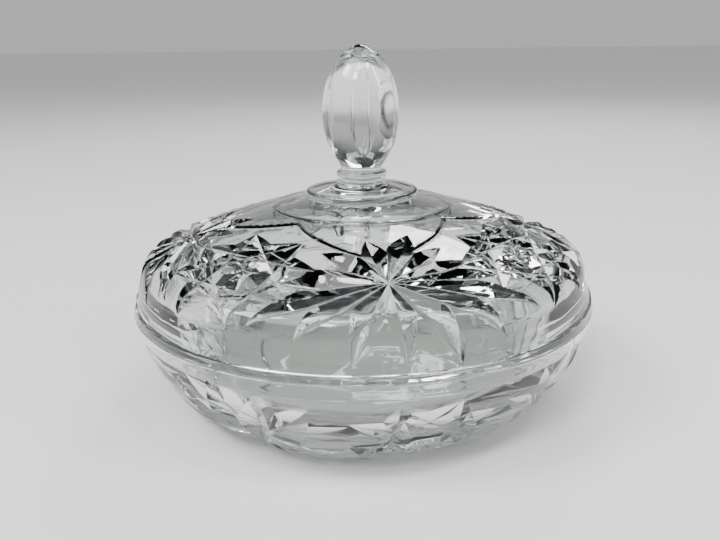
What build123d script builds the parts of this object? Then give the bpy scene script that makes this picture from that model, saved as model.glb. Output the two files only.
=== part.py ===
from build123d import *

import os
from math import cos, radians, sin

# Covered powder jar in clear pressed glass: a shallow bowl and a domed lid with an egg-shaped finial.
# Millimetres, +Z up. The origin is the centre of the standing ring, where the jar meets the table.
# The bowl and the lid are each one pressing, so the jar has two pieces.

# Driving dimensions
RIM_R = 92.0  # widest radius, shared by the two rim bands
JOINT_Z = 40.0  # height of the plane where the lid rests on the bowl
BAND_STEP = 0.8  # how far each plain band stands proud of the patterned wall

# Bowl
BOWL_BAND_H = 3.9
FOOT_R = 69.0  # outer radius of the standing ring
FOOT_INNER_R = 47.0
FOOT_RECESS = 1.6  # how far the underside is hollowed inside the standing ring
BELLY_R, BELLY_Z = 84.4, 17.0  # a point on the outside of the wall, halfway down
MOUTH_R = 86.4
MOUTH_DEPTH = 6.0  # straight part of the mouth that receives the lid's locating lip
HOLLOW_R, HOLLOW_Z = 77.2, 19.0  # a point on the inside of the wall, halfway down
FLOOR_R = 56.0
FLOOR_Z = 7.5

# Lid
LID_BAND_H = 3.1
LID_BAND_TAPER = 0.6
LIP_CLEARANCE = 0.5
LIP_DEPTH = 2.6
LIP_THICKNESS = 4.2
SHOULDER_R, SHOULDER_Z = 86.8, 58.4  # corner of wall and dome, before it is rounded
SHOULDER_ROUND = 9.0
DOME_R, DOME_Z = 62.0, 67.9  # a point on the outside of the dome
BOSS_R, BOSS_Z = 36.0, 74.9  # where the pattern stops at a plain boss
BOSS_STEP = 0.9
VAULT_R, VAULT_Z = 81.0, 54.4  # inside corner of wall and dome, before it is rounded
VAULT_ROUND = 7.0
VAULT_MID_R, VAULT_MID_Z = 46.0, 66.2  # a point on the inside of the dome
VAULT_TOP_Z = 72.0

# Finial: collar, neck and egg
COLLAR_R = 22.4
COLLAR_FOOT_R = 19.5
COLLAR_Z = 78.4
COLLAR_H = 3.3
COLLAR_ROUND = 1.2
FLARE_R = 14.6
BEAD_R = 9.4
BEAD_Z = 86.6
BEAD_H = 2.2
NECK_R = 8.3
NECK_Z = 91.0
EGG_LOW_R, EGG_LOW_Z = 13.4, 100.6  # a point on the underside of the egg
EGG_R, EGG_Z = 15.1, 110.8  # the egg's widest place
EGG_CHEEK_Z = 127.5  # the two handles that shape the egg's upper half
EGG_CROWN_R, EGG_CROWN_Z = 5.5, 136.4
TOP_Z = 136.6

# Upright flutes cut round the egg
FLUTES = 5
FLUTE_START = 5.7  # degrees that the first flute is turned from the front
FLUTE_MID_Z = 111.7
FLUTE_DEPTH = 2.0
FLUTE_WIDTH = 18.0  # of the cutter, which is wider than the flute it leaves
FLUTE_HOLLOW = 2.0  # how far the cutter bulges inward across its width
FLUTE_SWEEP_R = 63.0  # radius that the flute follows from end to end
FLUTE_SWEEP = 36.0

FRONT = -90.0  # the jar's front faces -Y


# The bowl: one closed profile, turned about the axis
with BuildPart() as bowl:
    with BuildSketch(Plane.XZ) as bowl_profile:
        with BuildLine():
            wall_r = RIM_R - BAND_STEP
            band_z = JOINT_Z - BOWL_BAND_H
            underside = Line((0, FOOT_RECESS), (FOOT_INNER_R - FOOT_RECESS, FOOT_RECESS))
            ring = Polyline(underside @ 1, (FOOT_INNER_R, 0), (FOOT_R, 0))
            belly = ThreePointArc(ring @ 1, (BELLY_R, BELLY_Z), (wall_r, band_z))
            band = Polyline(belly @ 1, (RIM_R, band_z), (RIM_R, JOINT_Z), (MOUTH_R, JOINT_Z))
            mouth = Line(band @ 1, (MOUTH_R, JOINT_Z - MOUTH_DEPTH))
            hollow = ThreePointArc(mouth @ 1, (HOLLOW_R, HOLLOW_Z), (FLOOR_R, FLOOR_Z))
            Polyline(hollow @ 1, (0, FLOOR_Z), underside @ 0)
        make_face()
    revolve(axis=Axis.Z)
bowl.part.label = "bowl"

# What one flute takes out of the egg: a shallow hollow swept on a wide arc that follows the egg's height
with BuildPart() as flute:
    flute_floor_r = EGG_R - FLUTE_DEPTH
    sweep_centre = Vector(flute_floor_r - FLUTE_SWEEP_R, 0, FLUTE_MID_Z)
    tilt = radians(FLUTE_SWEEP / 2)
    start = Plane(origin=sweep_centre, x_dir=(cos(tilt), 0, sin(tilt)), z_dir=(-sin(tilt), 0, cos(tilt)))
    with BuildSketch(start):
        with BuildLine():
            edge_r = FLUTE_SWEEP_R + FLUTE_HOLLOW
            outside_r = FLUTE_SWEEP_R + 2 * FLUTE_DEPTH
            hollow_line = ThreePointArc(
                (edge_r, -FLUTE_WIDTH / 2), (FLUTE_SWEEP_R, 0), (edge_r, FLUTE_WIDTH / 2)
            )
            Polyline(
                hollow_line @ 1,
                (outside_r, FLUTE_WIDTH / 2),
                (outside_r, -FLUTE_WIDTH / 2),
                hollow_line @ 0,
            )
        make_face()
    revolve(axis=Axis(sweep_centre, (0, 1, 0)), revolution_arc=FLUTE_SWEEP)

# The lid with its finial: one closed profile, then the flutes
with BuildPart() as lid:
    with BuildSketch(Plane.XZ) as lid_profile:
        with BuildLine():
            lip_r = MOUTH_R - LIP_CLEARANCE
            lip_inner_r = lip_r - LIP_THICKNESS
            lip_z = JOINT_Z - LIP_DEPTH
            band_top_r = RIM_R - LID_BAND_TAPER
            band_top_z = JOINT_Z + LID_BAND_H
            rest = Polyline(
                (lip_inner_r, lip_z),
                (lip_r, lip_z),
                (lip_r, JOINT_Z),
                (RIM_R, JOINT_Z),
                (band_top_r, band_top_z),
                (band_top_r - BAND_STEP, band_top_z),
                (SHOULDER_R, SHOULDER_Z),
            )
            dome = ThreePointArc(rest @ 1, (DOME_R, DOME_Z), (BOSS_R, BOSS_Z))
            boss = Polyline(dome @ 1, (BOSS_R, BOSS_Z + BOSS_STEP), (COLLAR_FOOT_R, COLLAR_Z))
            collar_top_z = COLLAR_Z + COLLAR_H
            collar = Polyline(
                boss @ 1, (COLLAR_R, COLLAR_Z), (COLLAR_R, collar_top_z), (FLARE_R, collar_top_z)
            )
            flare = TangentArc(collar @ 1, (BEAD_R, BEAD_Z), tangent=(-1, 0.25))
            bead_top_z = BEAD_Z + BEAD_H
            bead = ThreePointArc(
                flare @ 1, (BEAD_R + BEAD_H / 3, BEAD_Z + BEAD_H / 2), (BEAD_R, bead_top_z)
            )
            neck = Polyline(bead @ 1, (NECK_R, bead_top_z), (NECK_R, NECK_Z))
            egg_below = ThreePointArc(neck @ 1, (EGG_LOW_R, EGG_LOW_Z), (EGG_R, EGG_Z))
            Bezier(egg_below @ 1, (EGG_R, EGG_CHEEK_Z), (EGG_CROWN_R, EGG_CROWN_Z), (0, TOP_Z))
            axis_line = Line((0, TOP_Z), (0, VAULT_TOP_Z))
            vault = ThreePointArc(axis_line @ 1, (VAULT_MID_R, VAULT_MID_Z), (VAULT_R, VAULT_Z))
            Line(vault @ 1, rest @ 0)
        make_face()
        corners = lid_profile.vertices()
        fillet(corners.sort_by_distance((SHOULDER_R, SHOULDER_Z))[0], SHOULDER_ROUND)
        corners = lid_profile.vertices()
        fillet(corners.sort_by_distance((VAULT_R, VAULT_Z))[0], VAULT_ROUND)
        corners = lid_profile.vertices()
        fillet(corners.sort_by_distance((COLLAR_R, COLLAR_Z + COLLAR_H))[0], COLLAR_ROUND)
        corners = lid_profile.vertices()
        fillet(corners.sort_by_distance((COLLAR_R, COLLAR_Z))[0], COLLAR_ROUND)
    revolve(axis=Axis.Z)
    with PolarLocations(0, FLUTES, start_angle=FRONT + FLUTE_START):
        add(flute.part, mode=Mode.SUBTRACT)
lid.part.label = "lid"

os.makedirs("parts", exist_ok=True)
for piece in (bowl, lid):
    export_step(piece.part, f"parts/{piece.part.label}.step")
    print(piece.part.label, piece.part.volume, piece.part.bounding_box(), piece.part.is_valid)
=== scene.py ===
"""Covered powder jar in clear pressed glass: the visual model, in metres, in the frame of the CAD.

The bowl and the lid are each one pressing. Both are turned here from the same profile as the CAD, with
rounded edges and an even mesh, and then cut: daisies of scooped petals and stars of mitre grooves take
turns round the lid and round the bowl, and upright flutes go round the finial.
"""

from math import atan2, cos, hypot, pi, radians, sin, sqrt

import bmesh
import bpy
from mathutils import Matrix, Vector


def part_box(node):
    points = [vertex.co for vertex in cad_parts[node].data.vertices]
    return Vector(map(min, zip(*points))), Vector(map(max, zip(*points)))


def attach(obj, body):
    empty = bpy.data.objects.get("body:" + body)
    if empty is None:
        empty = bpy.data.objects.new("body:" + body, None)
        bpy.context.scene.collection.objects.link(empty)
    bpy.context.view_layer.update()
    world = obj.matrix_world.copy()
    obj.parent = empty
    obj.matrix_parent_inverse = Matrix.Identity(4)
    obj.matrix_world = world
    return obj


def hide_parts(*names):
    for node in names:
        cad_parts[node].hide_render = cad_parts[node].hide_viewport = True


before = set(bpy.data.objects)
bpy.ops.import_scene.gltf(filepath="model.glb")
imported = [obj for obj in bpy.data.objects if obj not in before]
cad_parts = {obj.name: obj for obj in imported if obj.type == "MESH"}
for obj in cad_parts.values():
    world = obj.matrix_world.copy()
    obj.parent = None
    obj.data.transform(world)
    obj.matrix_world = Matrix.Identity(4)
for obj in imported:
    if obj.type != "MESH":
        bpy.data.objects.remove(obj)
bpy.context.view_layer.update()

MM = 0.001

# ---------------------------------------------------------------- sizes, in millimetres
# A place on a profile is (radius, height). A third number is the radius that rounds the corner there.

BOWL_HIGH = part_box("bowl")[1]
LID_LOW, LID_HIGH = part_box("lid")
RIM_R = BOWL_HIGH[0] / MM
JOINT_Z = BOWL_HIGH[2] / MM
TOP_Z = LID_HIGH[2] / MM
LIP_Z = LID_LOW[2] / MM
REST_GAP = 0.08  # air between the lid and the bowl's rim, so that the two glass faces never touch

SEGMENTS = 264  # of the mesh, round the jar
STEP = 1.6  # of the mesh, along a profile
INSIDE_STEP = 2.5  # the same inside the jar, where nothing is cut
EDGE = 0.45  # rounding of a fire-polished edge

BAND_STEP = 0.8  # how far the plain rim bands stand out of the patterned walls
BAND_LEAN = 0.6  # how far the lid's band leans in towards its top
LID_BAND_H = 3.1
BOWL_BAND_H = 3.9

BOSS = (36.0, 74.9)  # where the patterned dome starts, below the plain field round the collar
BOSS_STEP = 0.9
DOME = (62.0, 67.9)
SHOULDER = (86.8, 58.4)
SHOULDER_ROUND = 9.0
VAULT = ((81.0, 54.4), (46.0, 66.2), (0.0, 72.0))  # the inside of the dome
VAULT_ROUND = 7.0
LIP_CLEARANCE = 0.5  # between the locating lip and the bowl's mouth
LIP_T = 4.2

COLLAR_R, COLLAR_Z, COLLAR_TOP = 22.4, 78.4, 81.7
COLLAR_ROOT_R = 19.5
COLLAR_ROUND = 1.2
NECK_ROUND, ROOT_ROUND, LIP_ROUND = 0.6, 0.4, 0.3  # inner corners above the bead, at the collar, at the lip
BEAD_R, BEAD_Z, BEAD_H = 9.4, 86.6, 2.2
FLARE = (10.6, 83.4)
FLARE_END = (14.6, COLLAR_TOP + 0.1)
FLARE_FOOT = (16.0, COLLAR_TOP - 0.1)

EGG_R, EGG_Z = 15.1, 110.8  # the egg of the finial, where it is widest
EGG_CROWN = (5.5, 136.4)
EGG_CHEEK_Z = 127.5
EGG_LOWER, EGG_END = (13.4, 100.6), (8.3, 91.0)
FLUTES = 5
FLUTE_START = 5.7  # azimuth of the first, in degrees
FLUTE_MID_Z, FLUTE_HALF_HEIGHT = 111.7, 16.8
FLUTE_HALF_WIDTH, FLUTE_DEPTH = 5.9, 2.0

FOOT_R, FOOT_INNER_R, FOOT_RECESS = 69.0, 47.0, 1.6
FOOT_ROUND = 1.2
BELLY = (84.4, 17.0)
MOUTH_R = 86.4
MOUTH_H = 6.0  # of the mouth's upright part
BOWL_SIDE, BOWL_FLOOR = (77.2, 19.0), (56.0, 7.5)
FLOOR_ROUND = 5.0

# ---------------------------------------------------------------- sizes of the pressed relief

MEDALLIONS = 4  # of each kind, round the lid and round the bowl
TURN = 360 / (2 * MEDALLIONS)
LID_DAISY_AZIMUTH = 6.8
LID_STAR_AZIMUTH = LID_DAISY_AZIMUTH + TURN + 1.5
BOWL_STAR_AZIMUTH = 15.0
BOWL_DAISY_AZIMUTH = BOWL_STAR_AZIMUTH + TURN
LID_DAISY_R, LID_STAR_R, BOWL_R = 69.0, 68.0, 74.0  # from the jar's axis to a medallion's centre

CLEAR = 2.5  # how far a tool stands out of the wall
WAIST = 0.6  # where along its length a petal is widest
ROOT_WIDTH = 0.2  # width of a petal's root, as a share of its waist
TAPER = 1.7  # how full a petal stays past its waist
ROOT_REACH = 1.0  # how far a petal starts beyond the daisy's centre
OVERLAP = 1.06  # of a petal's width, so that neighbours meet in a sharp edge
HOLLOW = 0.3  # how hollow a petal's flanks are, as a share of its depth
PETAL_TIP = 0.03  # width left at a petal's or flute's point, as a share, so that its tool is a solid
MITRE_TIP = 0.02  # the same for a mitre groove

STAR_POINTS = 8
CHORD_SKIP = 3  # a long groove joins a point to the third one on
LATTICE, LATTICE_SKIP = 0.82, 2  # short grooves join every second point of a star this much smaller
HEART, HEART_ROOT = 0.34, -0.04  # where the rays of the small star end and start, as a share of the star
FINE = 0.4  # width of a short groove or a ray, as a share of a long groove's
SHORT_DEPTH = 0.75  # depth of a short groove, as a share of a long groove's
RAY_DEPTH, RAY_ROOT_DEPTH = 0.5, 0.8  # the same for a ray, at its waist and its root

LOBE_INNER_R, LOBE_TIP_R = 38.5, 60.0  # of the four-lobed field round the collar
LOBE_HALF_WIDTH, LOBE_DEPTH = 1.1, 0.45
CREASE = 24.0  # degrees between faces from which an edge stays sharp


def oval(theta, across, far, near):
    """A place on an oval that is as wide as across, and reaches far down the slope and near up it."""
    return across * sin(theta), (far if cos(theta) > 0 else near) * cos(theta)


# Tips of the petals of a daisy: across the wall, and down it towards the rim (lid) or the foot (bowl)
LID_PETALS = [
    (2.3, 26.4), (19.0, 24.7), (35.4, 17.6), (48.5, 7.2), (41.0, -4.8), (30.0, -11.0), (20.8, -18.5),
    (10.5, -26.5), (-4.5, -23.0), (-20.0, -18.0), (-36.5, -5.5), (-45.0, 9.2), (-31.1, 17.4), (-14.2, 25.3),
]
BOWL_PETALS = [oval(radians(9 + 30 * k), 36.0, 16.0, 34.0) for k in range(12)]

# ---------------------------------------------------------------- profiles


def arc(start, middle, end, spacing=STEP):
    """Points on the circle through three points, evenly spaced from start to end."""
    (ax, ay), (bx, by), (cx, cy) = start, middle, end
    turn = 2 * (ax * (by - cy) + bx * (cy - ay) + cx * (ay - by))
    a2, b2, c2 = ax * ax + ay * ay, bx * bx + by * by, cx * cx + cy * cy
    ox = (a2 * (by - cy) + b2 * (cy - ay) + c2 * (ay - by)) / turn
    oy = (a2 * (cx - bx) + b2 * (ax - cx) + c2 * (bx - ax)) / turn
    radius = hypot(ax - ox, ay - oy)
    first = atan2(ay - oy, ax - ox)
    sweep = (atan2(cy - oy, cx - ox) - first) % (2 * pi)
    halfway = (atan2(by - oy, bx - ox) - first) % (2 * pi)
    if halfway > sweep:
        sweep -= 2 * pi
    count = max(2, round(abs(sweep) * radius / spacing))
    angles = [first + sweep * i / count for i in range(count + 1)]
    return [(ox + radius * cos(a), oy + radius * sin(a)) for a in angles]


def bezier(p0, p1, p2, p3, count):
    """Points on a cubic curve."""
    points = []
    for i in range(count + 1):
        t = i / count
        weights = ((1 - t) ** 3, 3 * t * (1 - t) ** 2, 3 * t * t * (1 - t), t ** 3)
        points.append(tuple(sum(w * p[k] for w, p in zip(weights, (p0, p1, p2, p3))) for k in (0, 1)))
    return points


def rounded(corner, before, after, radius, count=4):
    """Points of the arc that rounds a corner, with room left before its two neighbours."""
    room = 0.45
    c, a, b = Vector(corner), Vector(before), Vector(after)
    to_a, to_b = (a - c).normalized(), (b - c).normalized()
    half = to_a.angle(to_b) / 2
    reach = radius / max(1e-6, sin(half) / cos(half))
    reach = min(reach, room * (a - c).length, room * (b - c).length)
    start, end = c + to_a * reach, c + to_b * reach
    inward = (to_a + to_b).normalized()
    nearest = c + inward * (reach / cos(half)) * (1 - sin(half))
    spacing = (start - end).length / count
    return arc(tuple(start), tuple(nearest), tuple(end), spacing)


def soften(path):
    """A profile with the corners rounded that have a third number."""
    points = []
    for i, entry in enumerate(path):
        if len(entry) == 2:
            points.append(entry)
            continue
        before, after = path[i - 1][:2], path[(i + 1) % len(path)][:2]
        points += rounded(entry[:2], before, after, entry[2])
    return points


def divide(points):
    """The same profile with its long straight stretches divided."""
    result = [points[0]]
    for a, b in zip(points, points[1:]):
        pieces = max(1, round(hypot(b[0] - a[0], b[1] - a[1]) / STEP))
        result += [(a[0] + (b[0] - a[0]) * i / pieces, a[1] + (b[1] - a[1]) * i / pieces)
                   for i in range(1, pieces + 1)]
    return result


# The patterned walls, from the middle of the jar outwards, as the CAD has them. The rounding of the
# shoulder takes the place of the dome's last five points.
LID_BAND_TOP = (RIM_R - BAND_LEAN, JOINT_Z + LID_BAND_H)
LID_WALL_END = (LID_BAND_TOP[0] - BAND_STEP, LID_BAND_TOP[1])
DOME_LINE = arc(BOSS, DOME, SHOULDER)
SHOULDER_LINE = rounded(SHOULDER, DOME_LINE[-7], LID_WALL_END, SHOULDER_ROUND, count=10)
LID_WALL = DOME_LINE[:-5] + SHOULDER_LINE + [LID_WALL_END]
BOWL_WALL = arc((FOOT_R, 0.0), BELLY, (RIM_R - BAND_STEP, JOINT_Z - BOWL_BAND_H))

# The egg of the finial, from its tip down to the neck
EGG_LINE = bezier((0.0, TOP_Z), EGG_CROWN, (EGG_R, EGG_CHEEK_Z), (EGG_R, EGG_Z), count=30)[:-1]
EGG_LINE += arc((EGG_R, EGG_Z), EGG_LOWER, EGG_END, spacing=1.1)


def bowl_profile():
    """The bowl's section, from the axis under the foot, round the outside and back to the axis."""
    band_z = BOWL_WALL[-1][1]
    hollow = arc((MOUTH_R, JOINT_Z - MOUTH_H), BOWL_SIDE, BOWL_FLOOR, INSIDE_STEP)
    path = [
        (0.0, FOOT_RECESS),
        (FOOT_INNER_R - FOOT_RECESS, FOOT_RECESS, FOOT_ROUND),
        (FOOT_INNER_R, 0.0, EDGE),
    ]
    path += BOWL_WALL
    path += [(RIM_R, band_z, EDGE / 2), (RIM_R, JOINT_Z, EDGE), (MOUTH_R, JOINT_Z, EDGE)]
    path += hollow[:-1]
    path += [hollow[-1] + (FLOOR_ROUND,), (0.0, hollow[-1][1])]
    return soften(path)


def neck_profile():
    """The outside from the egg down to the dome: a bead, a flare below it and the round collar."""
    bead_top, bead_bottom = (BEAD_R, BEAD_Z + BEAD_H), (BEAD_R, BEAD_Z)
    bead_out = (BEAD_R + BEAD_H / 3, BEAD_Z + BEAD_H / 2)
    path = [(EGG_END[0], bead_top[1], NECK_ROUND)]
    path += arc(bead_top, bead_out, bead_bottom, spacing=0.4)
    path += arc(bead_bottom, FLARE, FLARE_END, spacing=0.7)[1:]
    path += [
        FLARE_FOOT + (ROOT_ROUND,),
        (COLLAR_R, COLLAR_TOP, COLLAR_ROUND),
        (COLLAR_R, COLLAR_Z, COLLAR_ROUND),
        (COLLAR_ROOT_R, COLLAR_Z, ROOT_ROUND),
        (BOSS[0], BOSS[1] + BOSS_STEP, EDGE),
    ]
    return path


def lid_profile():
    """The lid's section, from the axis at the finial's tip, down the outside and back under the dome."""
    rest_z = JOINT_Z + REST_GAP
    lip_r = MOUTH_R - LIP_CLEARANCE
    vault = arc(*VAULT, INSIDE_STEP)
    first_clear = 4  # point of the vault that its rounding doesn't reach
    path = EGG_LINE + neck_profile() + LID_WALL
    path += [
        LID_BAND_TOP + (EDGE,),
        (RIM_R, rest_z, EDGE),
        (lip_r, rest_z, LIP_ROUND),
        (lip_r, LIP_Z, EDGE),
        (lip_r - LIP_T, LIP_Z, EDGE),
        vault[0] + (VAULT_ROUND,),
    ]
    path += vault[first_clear:]
    return soften(path)


def egg_radius(z):
    """Radius of the egg at a height."""
    for (r1, z1), (r2, z2) in zip(EGG_LINE, EGG_LINE[1:]):
        if z1 >= z >= z2:
            return r1 + (r2 - r1) * (z1 - z) / (z1 - z2)
    raise ValueError("the egg does not reach this height")


# ---------------------------------------------------------------- meshes


def closed_mesh(name, verts, faces):
    """An object from a closed surface, with its faces turned outwards."""
    mesh = bpy.data.meshes.new(name)
    mesh.from_pydata(verts, [], faces)
    bm = bmesh.new()
    bm.from_mesh(mesh)
    bmesh.ops.remove_doubles(bm, verts=bm.verts, dist=1e-7)
    bmesh.ops.recalc_face_normals(bm, faces=bm.faces)
    if bm.calc_volume(signed=True) < 0:
        bmesh.ops.reverse_faces(bm, faces=bm.faces)
    bm.to_mesh(mesh)
    bm.free()
    piece = bpy.data.objects.new(name, mesh)
    bpy.context.scene.collection.objects.link(piece)
    return piece


def turned(name, profile):
    """A closed mesh made by turning a section about the jar's axis."""
    rings, verts = [], []
    for r, z in divide(profile):
        if r < 1e-6:
            rings.append([len(verts)])
            verts.append((0.0, 0.0, z * MM))
            continue
        rings.append(list(range(len(verts), len(verts) + SEGMENTS)))
        for i in range(SEGMENTS):
            angle = 2 * pi * i / SEGMENTS
            verts.append((r * sin(angle) * MM, -r * cos(angle) * MM, z * MM))
    faces = []
    for inner, outer in zip(rings, rings[1:]):
        for i in range(SEGMENTS):
            j = (i + 1) % SEGMENTS
            if len(inner) == 1:
                faces.append((inner[0], outer[i], outer[j]))
            elif len(outer) == 1:
                faces.append((inner[i], outer[0], inner[j]))
            else:
                faces.append((inner[i], outer[i], outer[j], inner[j]))
    return closed_mesh(name, verts, faces)


def tube(name, sections):
    """A closed mesh through a row of sections that all have the same number of points, in metres."""
    size, last = len(sections[0]), len(sections) - 1
    verts = [vert for section in sections for vert in section]
    faces = []
    for i in range(last):
        a, b = i * size, (i + 1) * size
        faces += [(a + k, a + (k + 1) % size, b + (k + 1) % size, b + k) for k in range(size)]
    faces.append(tuple(range(size - 1, -1, -1)))
    faces.append(tuple(last * size + k for k in range(size)))
    return closed_mesh(name, verts, faces)


def combine(piece, tool, operation):
    """Unite a piece with a tool, or cut the tool from it, and drop the tool."""
    modifier = piece.modifiers.new("combine", "BOOLEAN")
    modifier.operation = operation
    modifier.solver = "MANIFOLD"
    modifier.object = tool
    seen = piece.evaluated_get(bpy.context.evaluated_depsgraph_get())
    result = bpy.data.meshes.new_from_object(seen)
    piece.modifiers.clear()
    piece.data = result
    bpy.data.objects.remove(tool)


def union(tools):
    """One tool from several that overlap."""
    whole = tools[0]
    for tool in tools[1:]:
        combine(whole, tool, "UNION")
    return whole


def repeat(tool, copies):
    """One tool that holds several turned copies of a tool, none touching another."""
    bm = bmesh.new()
    for i in range(copies):
        turned_copy = tool.data.copy()
        turned_copy.transform(Matrix.Rotation(2 * pi * i / copies, 4, "Z"))
        bm.from_mesh(turned_copy)
    bm.to_mesh(tool.data)
    bm.free()
    return tool


# ---------------------------------------------------------------- the walls that are cut


class Wall:
    """A patterned wall of the jar: its section as height over radius, and which side is outside."""

    def __init__(self, points, side):
        self.points = sorted(points)
        self.side = side

    def span(self, r):
        """The stretch of the section that a radius falls on; the end stretches run on."""
        i = 0
        while i < len(self.points) - 2 and self.points[i + 1][0] < r:
            i += 1
        return self.points[i], self.points[i + 1]

    def height(self, r):
        """Height of the wall at a radius."""
        a, b = self.span(r)
        return a[1] + (b[1] - a[1]) * (r - a[0]) / (b[0] - a[0])

    def outside(self, point):
        """How far a point is above the wall, or below it for the bowl."""
        return self.side * (point.z - self.height(hypot(point.x, point.y)))

    def normal(self, point):
        """Outward direction of the wall at a point."""
        r = hypot(point.x, point.y)
        reach = 0.6
        rise = (self.height(r + reach) - self.height(r - reach)) / (2 * reach)
        radial = Vector((point.x / r, point.y / r, 0))
        return (Vector((0, 0, 1)) - radial * rise).normalized() * self.side

    def below(self, point, axis):
        """The place on the wall straight below a point, along an axis that points out of the wall."""
        near, far = -30.0, 30.0
        for _ in range(40):
            middle = (near + far) / 2
            if self.outside(point - axis * middle) > 0:
                near = middle
            else:
                far = middle
        return point - axis * near


def medallion(wall, azimuth, r):
    """Centre, outward axis, tangential direction and down-slope direction of a medallion."""
    angle = radians(azimuth)
    centre = Vector((r * sin(angle), -r * cos(angle), wall.height(r)))
    axis = wall.normal(centre)
    across = Vector((cos(angle), sin(angle), 0))
    down = across.cross(axis)
    return centre, axis, across, down


def cut_line(wall, place, start, end, count):
    """Points on the wall under the straight line between two places of a medallion."""
    centre, axis, across, down = place
    line = []
    for i in range(count + 1):
        t = i / count
        a = start[0] + (end[0] - start[0]) * t
        b = start[1] + (end[1] - start[1]) * t
        line.append(wall.below(centre + across * a + down * b, axis))
    return line


# ---------------------------------------------------------------- grooves


def leaf_groove(width, depth, count=4):
    """Section of a groove with a sharp line along its middle and slightly hollow flanks."""
    right = []
    for i in range(count + 1):
        x = i / count
        right.append((width * x, -depth * ((1 - HOLLOW) * (1 - x) + HOLLOW * (1 - x * x))))
    outer = width * (1 + CLEAR / (depth * (1 + HOLLOW)))
    left = [(-x, y) for x, y in reversed(right[1:])]
    return [(-outer, CLEAR)] + left + right + [(outer, CLEAR)]


def mitre(width, depth):
    """Section of a groove with two flat flanks that meet in a sharp line."""
    flank = width * (1 + CLEAR / depth)
    return [(-flank, CLEAR), (0.0, -depth), (flank, CLEAR)]


def groove(wall, line, section_at):
    """A closed tool that follows a line on the wall, with a section for each place from 0 to 1."""
    sections = []
    last = len(line) - 1
    for i, point in enumerate(line):
        forward = (line[min(i + 1, last)] - line[max(i - 1, 0)]).normalized()
        normal = wall.normal(point)
        sideways = normal.cross(forward).normalized()
        outline = section_at(i / last)
        sections.append([tuple((point + sideways * x + normal * y) * MM) for x, y in outline])
    return tube("groove", sections)


def petal_section(half_width, depth, root_depth):
    """A petal that widens evenly from its root to its waist and narrows to a point."""

    def section_at(t):
        grown = min(t / WAIST, 1.0)
        taper = max(1 - max((t - WAIST) / (1 - WAIST), 0.0) ** TAPER, PETAL_TIP)
        width = half_width * (ROOT_WIDTH + (1 - ROOT_WIDTH) * grown) * taper
        deep = (root_depth + (depth - root_depth) * grown) * taper
        return leaf_groove(width, deep)

    return section_at


def lens_section(half_width, depth):
    """A mitre groove that is widest halfway and runs out to a point at both ends."""

    def section_at(t):
        fade = max(1 - (2 * t - 1) ** 2, MITRE_TIP)
        return mitre(half_width * fade, depth * fade)

    return section_at


# ---------------------------------------------------------------- the pattern


def daisy(wall, azimuth, r, tips, steepness, root_depth):
    """Petals from a centre to the tips given. Each is as wide as its neighbours leave it."""
    place = medallion(wall, azimuth, r)
    tools = []
    for k, (x, y) in enumerate(tips):
        length = hypot(x, y)
        before, after = Vector(tips[k - 1]), Vector(tips[(k + 1) % len(tips)])
        gap = before.angle(after) / 4
        half_width = OVERLAP * WAIST * length * sin(gap) / cos(gap)
        root = -ROOT_REACH / length
        line = cut_line(wall, place, (x * root, y * root), (x, y), count=20)
        tools.append(groove(wall, line, petal_section(half_width, steepness * half_width, root_depth)))
    return union(tools)


def hobstar(wall, azimuth, r, reach, half_width, depth):
    """Long and short mitre grooves along the chords of a star, with a small star cut in its middle.

    The reach is how far the star's points lie across the slope, down it and up it.
    """
    place = medallion(wall, azimuth, r)

    def tip(k, size):
        """Point k of the star, or of one of another size; halves lie between two points."""
        x, y = oval(radians(360 * (k + 0.5) / STAR_POINTS), *reach)
        return x * size, y * size

    long_section = lens_section(half_width, depth)
    short_section = lens_section(half_width * FINE, depth * SHORT_DEPTH)
    ray_section = petal_section(half_width * FINE, depth * RAY_DEPTH, depth * RAY_ROOT_DEPTH)
    tools = []
    for k in range(STAR_POINTS):
        line = cut_line(wall, place, tip(k, 1), tip(k + CHORD_SKIP, 1), count=14)
        tools.append(groove(wall, line, long_section))
        line = cut_line(wall, place, tip(k, LATTICE), tip(k + LATTICE_SKIP, LATTICE), count=12)
        tools.append(groove(wall, line, short_section))
    for k in range(STAR_POINTS):
        line = cut_line(wall, place, tip(k + 0.5, HEART_ROOT), tip(k + 0.5, HEART), count=10)
        tools.append(groove(wall, line, ray_section))
    return union(tools)


def lobe(wall, azimuth, count=40):
    """The groove along the edge of the lobed field, one quarter of it, from tip to tip."""
    line = []
    for i in range(count + 1):
        turn = i / count
        r = LOBE_INNER_R + (LOBE_TIP_R - LOBE_INNER_R) * abs(1 - 2 * turn)
        angle = radians(azimuth + 360 / MEDALLIONS * turn)
        point = Vector((r * sin(angle), -r * cos(angle), 0))
        point.z = wall.height(hypot(point.x, point.y))
        line.append(point)
    return groove(wall, line, lambda t: mitre(LOBE_HALF_WIDTH, LOBE_DEPTH))


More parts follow.
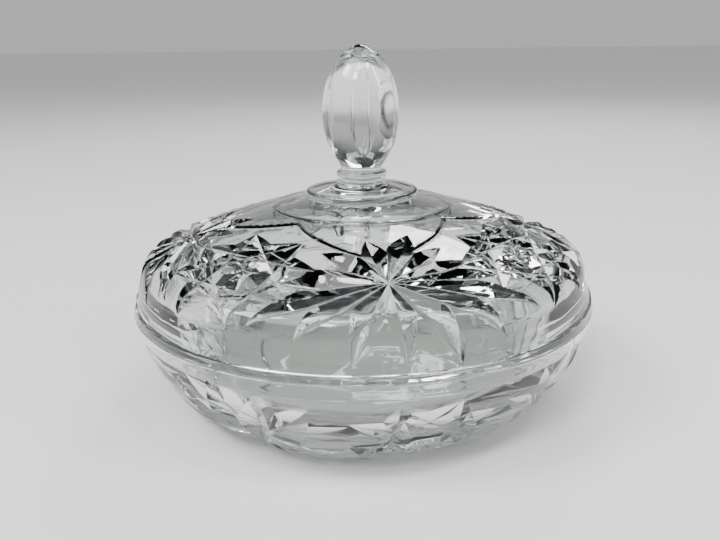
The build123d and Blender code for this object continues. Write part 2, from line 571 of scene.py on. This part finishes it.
def flute(azimuth):
    """One upright flute of the egg: a hollow that is widest halfway up and pointed at both ends."""
    steps, columns = 40, 16
    margin, shelf, outside = 0.8, 1.0, 4.0  # of the tool, round the hollow
    sections = []
    for i in range(steps + 1):
        s = 2 * i / steps - 1
        z = FLUTE_MID_Z + FLUTE_HALF_HEIGHT * s
        fade = max(1 - s * s, PETAL_TIP)
        egg_r, width = egg_radius(z), FLUTE_HALF_WIDTH * fade
        hollow = []
        for k in range(columns + 1):
            y = width * (2 * k / columns - 1)
            cut = FLUTE_DEPTH * fade * (1 - (y / width) ** 2)
            hollow.append((sqrt(egg_r ** 2 - y ** 2) - cut, y))
        inner_r, outer_r, side = egg_r + shelf, egg_r + outside, width + margin
        outline = [(inner_r, -side)] + hollow + [(inner_r, side), (outer_r, side), (outer_r, -side)]
        sections.append([(y * MM, -r * MM, z * MM) for r, y in outline])
    tool = tube("flute", sections)
    tool.data.transform(Matrix.Rotation(radians(azimuth), 4, "Z"))
    return tool


# ---------------------------------------------------------------- glass


def unevenness(nodes, links, where, scale, detail):
    """A noise texture on the piece's own coordinates."""
    noise = nodes.new("ShaderNodeTexNoise")
    noise.inputs["Scale"].default_value = scale
    noise.inputs["Detail"].default_value = detail
    links.new(where.outputs["Object"], noise.inputs["Vector"])
    return noise


def glass(name):
    """Clear soda glass with a faint grey-green body, fire-polished but slightly uneven."""
    material = bpy.data.materials.new(name)
    material.use_nodes = True
    nodes, links = material.node_tree.nodes, material.node_tree.links
    shader = nodes["Principled BSDF"]
    shader.inputs["Base Color"].default_value = (0.955, 0.975, 0.962, 1.0)
    shader.inputs["Transmission Weight"].default_value = 1.0
    shader.inputs["IOR"].default_value = 1.51

    where = nodes.new("ShaderNodeTexCoord")
    ripple = unevenness(nodes, links, where, 60.0, 2.0)
    bump = nodes.new("ShaderNodeBump")
    bump.inputs["Strength"].default_value = 0.12
    bump.inputs["Distance"].default_value = 0.0015
    links.new(ripple.outputs["Fac"], bump.inputs["Height"])
    links.new(bump.outputs["Normal"], shader.inputs["Normal"])

    polish = nodes.new("ShaderNodeBevel")
    polish.samples = 4
    polish.inputs["Radius"].default_value = 0.35 * MM
    links.new(polish.outputs["Normal"], bump.inputs["Normal"])

    haze = unevenness(nodes, links, where, 220.0, 4.0)
    spread = nodes.new("ShaderNodeMapRange")
    spread.inputs["From Min"].default_value = 0.45
    spread.inputs["From Max"].default_value = 0.75
    spread.inputs["To Min"].default_value = 0.004
    spread.inputs["To Max"].default_value = 0.05
    links.new(haze.outputs["Fac"], spread.inputs["Value"])
    links.new(spread.outputs["Result"], shader.inputs["Roughness"])

    body = nodes.new("ShaderNodeVolumeAbsorption")
    body.inputs["Color"].default_value = (0.78, 0.86, 0.80, 1.0)
    body.inputs["Density"].default_value = 9.0
    links.new(body.outputs["Volume"], nodes["Material Output"].inputs["Volume"])
    return material


# ---------------------------------------------------------------- the jar


def drop_chips(bm):
    """Remove the specks that crossing cuts leave loose, and keep the largest body."""
    waiting, bodies = set(bm.verts), []
    while waiting:
        body, front = set(), [waiting.pop()]
        while front:
            vert = front.pop()
            body.add(vert)
            near = {edge.other_vert(vert) for edge in vert.link_edges} & waiting
            waiting -= near
            front += near
        bodies.append(body)
    largest = max(bodies, key=len)
    chips = [vert for vert in bm.verts if vert not in largest]
    bmesh.ops.delete(bm, geom=chips, context="VERTS")


def finish_surface(piece):
    """Smooth shading with the cuts' edges kept crisp."""
    mesh = piece.data
    bm = bmesh.new()
    bm.from_mesh(mesh)
    drop_chips(bm)
    limit = radians(CREASE)
    for face in bm.faces:
        face.smooth = True
    for edge in bm.edges:
        edge.smooth = len(edge.link_faces) == 2 and edge.calc_face_angle() < limit
    bm.to_mesh(mesh)
    bm.free()


def dress(piece, material):
    """Give the whole piece one material."""
    mesh = piece.data
    mesh.materials.clear()
    mesh.materials.append(material)
    for face in mesh.polygons:
        face.material_index = 0


def finish_piece(piece, name):
    """Surface, material and bookkeeping of one pressing."""
    finish_surface(piece)
    dress(piece, glass(name + "_glass"))
    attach(piece, name)
    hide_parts(name)


def press(piece, tool):
    """Cut a tool from a piece at each of its places round the jar."""
    combine(piece, repeat(tool, MEDALLIONS), "DIFFERENCE")


def make_lid():
    """The lid with its finial: the lobed field, the daisies, the stars and the flutes."""
    wall = Wall(LID_WALL, 1)
    lid = turned("lid_pressing", lid_profile())
    press(lid, lobe(wall, LID_DAISY_AZIMUTH))
    flower = daisy(wall, LID_DAISY_AZIMUTH, LID_DAISY_R, LID_PETALS, steepness=0.72, root_depth=1.3)
    press(lid, flower)
    reach = (29.0, 24.5, 21.0)
    press(lid, hobstar(wall, LID_STAR_AZIMUTH, LID_STAR_R, reach, half_width=4.8, depth=2.1))
    for k in range(FLUTES):
        combine(lid, flute(FLUTE_START + 360 / FLUTES * k), "DIFFERENCE")
    finish_piece(lid, "lid")


def make_bowl():
    """The bowl with its stars and daisies."""
    wall = Wall(BOWL_WALL, -1)
    bowl = turned("bowl_pressing", bowl_profile())
    reach = (29.0, 17.0, 27.0)
    press(bowl, hobstar(wall, BOWL_STAR_AZIMUTH, BOWL_R, reach, half_width=6.2, depth=3.6))
    press(bowl, daisy(wall, BOWL_DAISY_AZIMUTH, BOWL_R, BOWL_PETALS, steepness=0.5, root_depth=3.8))
    finish_piece(bowl, "bowl")


# ---------------------------------------------------------------- stage, light and camera


def make_camera():
    """The photograph's viewpoint: 276 mm in front of the axis and 95.5 mm above the rim, looking down."""
    distance, above = 3.0 * RIM_R, 95.5
    pitch, roll = radians(90 - 17.82), radians(-0.7)
    data = bpy.data.cameras.new("camera")
    data.sensor_width = 36.0
    data.lens = 34.7
    data.shift_x = -0.004
    camera = bpy.data.objects.new("camera", data)
    camera.location = (0.0, -distance * MM, (JOINT_Z + above) * MM)
    turn = Matrix.Rotation(pitch, 3, "X") @ Matrix.Rotation(roll, 3, "Z")
    camera.rotation_euler = turn.to_euler()
    bpy.context.scene.collection.objects.link(camera)
    bpy.context.scene.camera = camera


def make_floor():
    """A pale round floor that reaches to the horizon."""
    radius, sides = 40.0, 96
    verts = [(radius * cos(2 * pi * i / sides), radius * sin(2 * pi * i / sides), 0.0) for i in range(sides)]
    mesh = bpy.data.meshes.new("floor")
    mesh.from_pydata(verts, [], [tuple(range(sides))])
    floor = bpy.data.objects.new("floor", mesh)
    bpy.context.scene.collection.objects.link(floor)
    material = bpy.data.materials.new("floor")
    material.use_nodes = True
    shader = material.node_tree.nodes["Principled BSDF"]
    shader.inputs["Base Color"].default_value = (0.66, 0.66, 0.65, 1.0)
    shader.inputs["Roughness"].default_value = 0.8
    mesh.materials.append(material)


def make_room():
    """The room round the jar: pale near the horizon and dim overhead, so that cut edges stand out."""
    world = bpy.data.worlds.new("room")
    world.use_nodes = True
    nodes, links = world.node_tree.nodes, world.node_tree.links
    where = nodes.new("ShaderNodeTexCoord")
    split = nodes.new("ShaderNodeSeparateXYZ")
    links.new(where.outputs["Generated"], split.inputs["Vector"])
    shade = nodes.new("ShaderNodeValToRGB")
    shade.color_ramp.interpolation = "EASE"
    horizon, overhead = shade.color_ramp.elements
    horizon.position = 0.06
    horizon.color = (0.52, 0.52, 0.52, 1.0)
    overhead.position = 0.45
    overhead.color = (0.045, 0.05, 0.055, 1.0)
    links.new(split.outputs["Z"], shade.inputs["Fac"])
    links.new(shade.outputs["Color"], nodes["Background"].inputs["Color"])
    bpy.context.scene.world = world
    bpy.context.scene.cycles.max_bounces = 32
    bpy.context.scene.cycles.transmission_bounces = 32


def daylight():
    """Even light on the floor, from a wide sun."""
    data = bpy.data.lights.new("daylight", "SUN")
    data.energy = 2.3
    data.angle = radians(40)
    sun = bpy.data.objects.new("daylight", data)
    sun.rotation_euler = (radians(22), radians(-24), 0.0)
    bpy.context.scene.collection.objects.link(sun)


def soft_light(name, place, size, power):
    """A rectangular area light that faces the jar."""
    data = bpy.data.lights.new(name, "AREA")
    data.shape = "RECTANGLE"
    data.size, data.size_y = size
    data.energy = power
    light = bpy.data.objects.new(name, data)
    light.location = place
    aim = Vector((0.0, 0.0, JOINT_Z * MM)) - light.location
    light.rotation_euler = aim.to_track_quat("-Z", "Y").to_euler()
    bpy.context.scene.collection.objects.link(light)


def make_light():
    """Daylight, and soft boxes where the front petals mirror them to the camera."""
    daylight()
    soft_light("key", (-0.80, -0.29, 1.05), (0.40, 0.40), 12.0)
    soft_light("strip", (0.85, -0.35, 0.85), (0.16, 0.70), 6.0)
    soft_light("top", (0.0, -0.53, 1.13), (0.50, 0.16), 5.0)
    soft_light("front", (-0.33, -0.78, 0.98), (0.20, 0.20), 5.0)
    soft_light("right", (0.43, -0.40, 1.16), (0.20, 0.20), 5.0)
    soft_light("back", (0.30, 1.00, 1.00), (0.60, 0.25), 8.0)


make_camera()
make_floor()
make_room()
make_light()
make_bowl()
make_lid()
